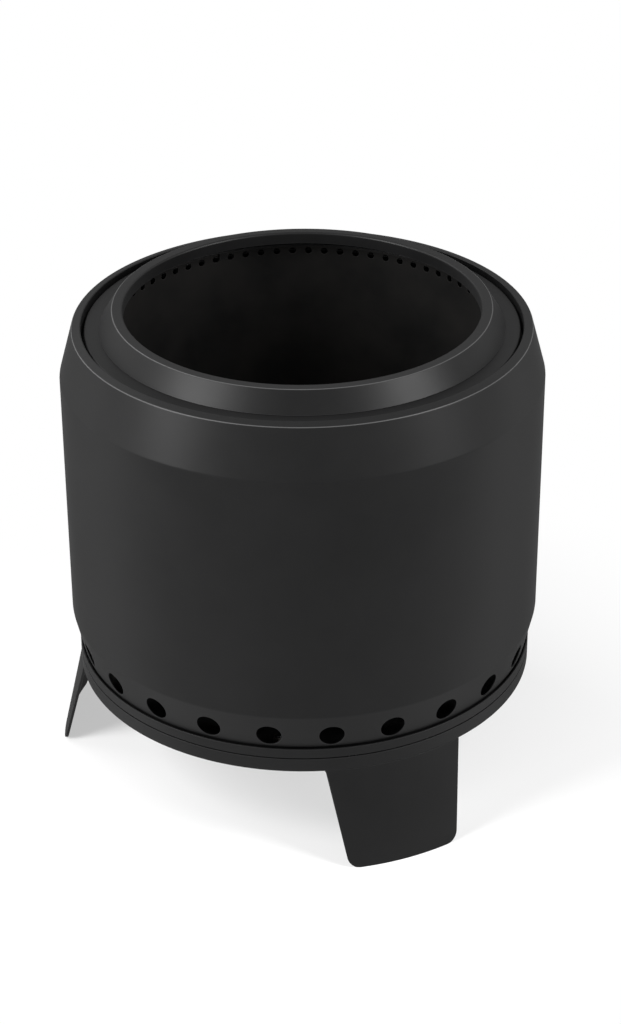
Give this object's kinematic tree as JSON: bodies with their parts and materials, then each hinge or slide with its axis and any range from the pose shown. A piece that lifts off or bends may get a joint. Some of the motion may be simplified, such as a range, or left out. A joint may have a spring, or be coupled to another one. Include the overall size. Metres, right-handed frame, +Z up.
{
  "type": "smokeless fire pit",
  "caption": "Free-standing round double-walled steel fire pit with bottom air vents, lift-off flame ring, grate and ash pan, on a stand ring with curved plate legs.",
  "frame": {"origin": "middle of the base pan's underside, on the axis of the bowl, 116.5 mm above the ground that the legs stand on", "axes": "+Z up along the axis of the bowl; -Y towards the front leg, so that the other legs are at 120 degrees to each side"},
  "size_m": [0.5096, 0.5171, 0.5157],
  "materials": {
    "black_coat": "satin black powder coat",
    "fire_coat": "matt black high-temperature coat",
    "stainless": "brushed",
    "black_zinc": "black zinc plate"
  },
  "bodies": {
    "pit": {"stand_ring": "black_coat", "leg_1": "black_coat", "leg_2": "black_coat", "leg_3": "black_coat", "leg_screw_1": "black_zinc", "leg_screw_2": "black_zinc", "leg_screw_3": "black_zinc", "leg_screw_4": "black_zinc", "leg_screw_5": "black_zinc", "leg_screw_6": "black_zinc", "leg_nut_1": "stainless", "leg_nut_2": "stainless", "leg_nut_3": "stainless", "leg_nut_4": "stainless", "leg_nut_5": "stainless", "leg_nut_6": "stainless", "base_pan": "black_coat", "outer_wall": "black_coat", "support_ring": "black_coat", "chamber_standoff_1": "stainless", "chamber_standoff_2": "stainless", "chamber_standoff_3": "stainless", "clamp_screw_1": "black_zinc", "clamp_screw_2": "black_zinc", "clamp_screw_3": "black_zinc", "clamp_screw_4": "black_zinc", "clamp_screw_5": "black_zinc", "clamp_screw_6": "black_zinc", "clamp_nut_1": "stainless", "clamp_nut_2": "stainless", "clamp_nut_3": "stainless", "clamp_nut_4": "stainless", "clamp_nut_5": "stainless", "clamp_nut_6": "stainless", "fire_chamber": "fire_coat", "chamber_floor": "fire_coat"},
    "flame_ring": {"flame_ring": "black_coat"},
    "ash_pan": {"ash_pan": "stainless", "ash_pan_handle": "stainless", "handle_rivet_1": "stainless", "handle_rivet_2": "stainless"},
    "grate": {"fire_grate": "fire_coat", "lift_ring_bracket": "fire_coat", "bracket_rivet_1": "fire_coat", "bracket_rivet_2": "fire_coat"},
    "lift_ring": {"lift_ring": "fire_coat"}
  },
  "joints": [
    {"name": "flame_ring_lift", "type": "slide", "parent": "pit", "child": "flame_ring", "axis": [0, 0, 1], "range_m": [0, 0.12]},
    {"name": "ash_pan_lift", "type": "slide", "parent": "pit", "child": "ash_pan", "axis": [0, 0, 1], "range_m": [0, 0.36]},
    {"name": "grate_lift", "type": "slide", "parent": "ash_pan", "child": "grate", "axis": [0, 0, 1], "range_m": [0, 0.33]},
    {"name": "lift_ring_swing", "type": "hinge", "parent": "grate", "child": "lift_ring", "pos_m": [0, 0, 0.1041], "axis": [-1, 0, 0], "range_deg": [0, 180]}
  ]
}
